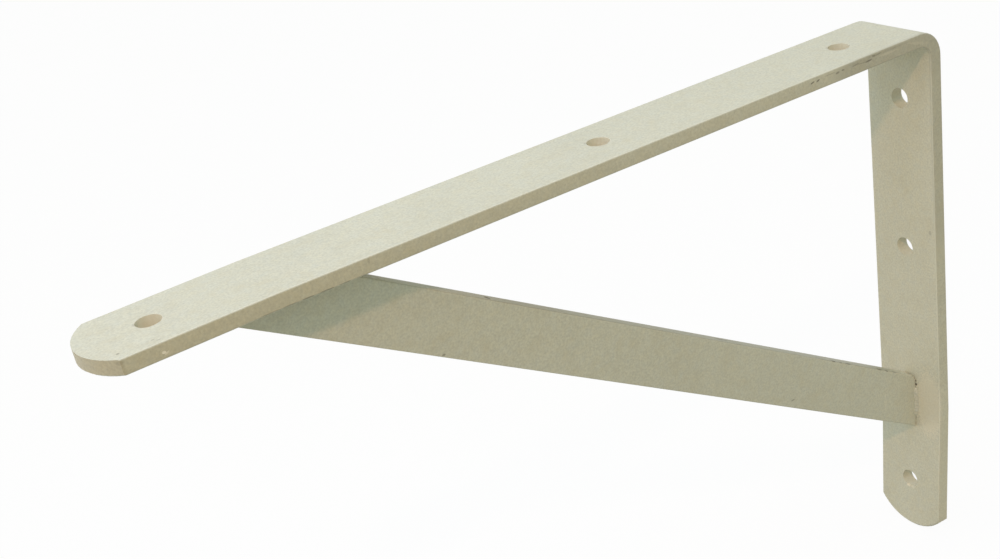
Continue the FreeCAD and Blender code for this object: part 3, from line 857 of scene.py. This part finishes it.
# %% [markdown]
# ## Four beads in their places
# Each foot of the brace has a bead on its near and one on its far side. The bar leans a little
# beyond the middle of each foot, by 0.9 degrees at the arm and 2.7 degrees at the upright, and the
# bead follows it. A foot is written down once, and a loop takes both of its sides.

# %% Stand the four beads in their corners
Foot = namedtuple("Foot", "x z along off_bar lean")
WELD_LENGTH = 13.0
WELD_LEG = 1.2
FIRST_SEED = 11
feet = {
    "upright_weld": Foot(5.0, -127.0, along=(0, 0, -1), off_bar=(1, 0, 0), lean=TAIL_LEAN),
    "arm_weld": Foot(254.5, 22.5, along=(1, 0, 0), off_bar=(0, 0, -1), lean=TIP_DROOP),
}
sides = {"near": 1, "far": -1}
bead_places = [(foot_name, side) for foot_name in feet for side in sides]
BEAD_CREAM = (0.62, 0.61, 0.50, 1)
bead_paint = cream_paint("bead_paint", BEAD_CREAM, BRACE_HALF_WIDTH, peel_depth=0.04)
for seed, (foot_name, side) in enumerate(bead_places, start=FIRST_SEED):
    foot = feet[foot_name]
    way = sides[side]
    node = foot_name + "_" + side
    name = node + "_bead"
    corner = (foot.x, way * BRACE_HALF_WIDTH, foot.z)
    directions = (foot.along, (0, way, 0), foot.off_bar)
    mesh = bead_mesh(name, corner, directions, WELD_LENGTH, WELD_LEG, foot.lean, seed)
    bead = bpy.data.objects.new(name, mesh)
    bpy.context.scene.collection.objects.link(bead)
    mesh.materials.append(bead_paint)
    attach(bead, "root")
    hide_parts(node)
    print(name, "has", len(mesh.polygons), "faces")

# %% [markdown]
# ## Floor, light and background
# The bracket stands on its tail on a pale floor. A plain white floor would either look grey in the
# picture or throw too much light up at the bracket. So what the camera sees of the floor is lifted
# towards white with a trick that the light itself doesn't know of: Light Path tells whether a ray
# comes from the camera or from a reflection, and only those rays meet a glow. The floor still takes
# the bracket's soft shadow, and the light on the bracket stays at a plain level.

# %% White for the camera, floor for the light
FLOOR_BOUNCE = (0.44, 0.43, 0.36, 1)
FLOOR_SEEN = (0.95, 0.95, 0.95, 1)
FLOOR_LIFT = 0.95
PAPER_GRAIN = 20 * MM
GRAIN_STEP = (0.3, 0.7)
GRAIN_DARKEST = 0.97


def seen_directly(tree):
    """Tell whether a ray comes from the camera, a reflection or a clear material."""
    path = add_node(tree, "ShaderNodeLightPath").outputs
    mirrored = calculate(tree, "MAXIMUM", path["Is Glossy Ray"], path["Is Transmission Ray"])
    return calculate(tree, "MAXIMUM", path["Is Camera Ray"], mirrored)


def floor_material(bounce_colour, seen_colour, lift):
    """Show a near white floor with some glow, and let the light meet a darker one."""
    material = bpy.data.materials.new("floor_paper")
    material.use_nodes = True
    tree = material.node_tree
    paper = tree.nodes["Principled BSDF"]
    position = add_node(tree, "ShaderNodeTexCoord").outputs["Object"]
    seen = seen_directly(tree)
    grain = ramp(tree, noise(tree, position, PAPER_GRAIN, 3.0), *GRAIN_STEP, low=GRAIN_DARKEST)
    colour = mix_colours(tree, seen, bounce_colour, seen_colour)
    paper_colour = calculate_vector(tree, "SCALE", {0: colour, "Scale": grain})
    fill(tree, paper.inputs, {"Base Color": paper_colour, "Roughness": 0.9,
                              "Specular IOR Level": 0.0})
    glow = add_node(tree, "ShaderNodeEmission", {"Color": (1, 1, 1, 1), "Strength": 1.0})
    amount = calculate(tree, "MULTIPLY", seen, lift)
    both = add_node(tree, "ShaderNodeMixShader",
                    {0: amount, 1: paper.outputs[0], 2: glow.outputs[0]})
    tree.links.new(both.outputs[0], tree.nodes["Material Output"].inputs["Surface"])
    return material

# %% Lay the floor
FLOOR_REACH = 4.0
FLOOR_GAP = 0.02 * MM
floor_height = cad_box[0][2] - FLOOR_GAP
corners = np.array([[-1, -1], [1, -1], [1, 1], [-1, 1]]) * FLOOR_REACH
floor_mesh = bpy.data.meshes.new("floor")
floor_mesh.from_pydata([(x, y, floor_height) for x, y in corners], [], [(0, 1, 2, 3)])
floor_mesh.materials.append(floor_material(FLOOR_BOUNCE, FLOOR_SEEN, FLOOR_LIFT))
floor = bpy.data.objects.new("floor", floor_mesh)
bpy.context.scene.collection.objects.link(floor)
print("floor lies at", round(floor_height / MM, 2), "mm")

# %% [markdown]
# ## Lamps
# Most of the light is a pale dome, which is the world, so no side is ever dark. Three lamps shape
# it. A cool one overhead makes the top of the arm the brightest face. A wide one in front, towards
# the far side, lifts the upright and hardly touches the near sides. A small warm one stands high at
# the front on the near side, and it alone draws a clear shadow of the arm on the upright and on the
# brace. Their power could be tried out in watts, but a lamp's level is given instead as the share
# of full white that it would give a white card facing it, so they can be balanced like mixing paint.

# %% Three lamps aimed at the bracket
LAMPS_AIM_AT = Vector((0.13, 0.0, -0.03))


def add_lamp(name, direction, distance, size, level, colour):
    """Aim a square lamp at the bracket. Its power is level times pi squared times distance squared."""
    data = bpy.data.lights.new(name, "AREA")
    data.size = size
    data.energy = level * math.pi ** 2 * distance ** 2
    data.color = colour
    lamp = bpy.data.objects.new(name, data)
    away = Vector(direction).normalized()
    lamp.location = LAMPS_AIM_AT + away * distance
    lamp.rotation_euler = away.to_track_quat("Z", "Y").to_euler()
    bpy.context.scene.collection.objects.link(lamp)
    print("lamp", name, "has", round(data.energy, 2), "W")


add_lamp("key_lamp", (1.0, 0.98, 1.43), distance=1.8, size=0.10, level=0.226, colour=(1.0, 0.59, 0.40))
add_lamp("overhead_lamp", (0.45, 0.0, 1.0), distance=0.7, size=0.4, level=0.325, colour=(0.64, 0.75, 1.0))
add_lamp("far_lamp", (1.0, -0.8, 0.25), distance=3.0, size=1.7, level=0.158, colour=(1.0, 0.90, 0.86))

# %% The pale dome
WORLD_LEVEL = 0.607
WORLD_COLOUR = (0.90, 1.0, 0.92, 1)
world = bpy.data.worlds.new("studio")
world.use_nodes = True
tree = world.node_tree
dome = tree.nodes["Background"]
fill(tree, dome.inputs, {"Color": WORLD_COLOUR, "Strength": WORLD_LEVEL})
white = add_node(tree, "ShaderNodeBackground", {"Color": (1, 1, 1, 1), "Strength": 1.0})
chosen = add_node(tree, "ShaderNodeMixShader",
                  {0: seen_directly(tree), 1: dome.outputs[0], 2: white.outputs[0]})
tree.links.new(chosen.outputs[0], tree.nodes["World Output"].inputs["Surface"])
bpy.context.scene.world = world
bpy.context.scene.view_settings.view_transform = "Standard"
print("world level", WORLD_LEVEL)
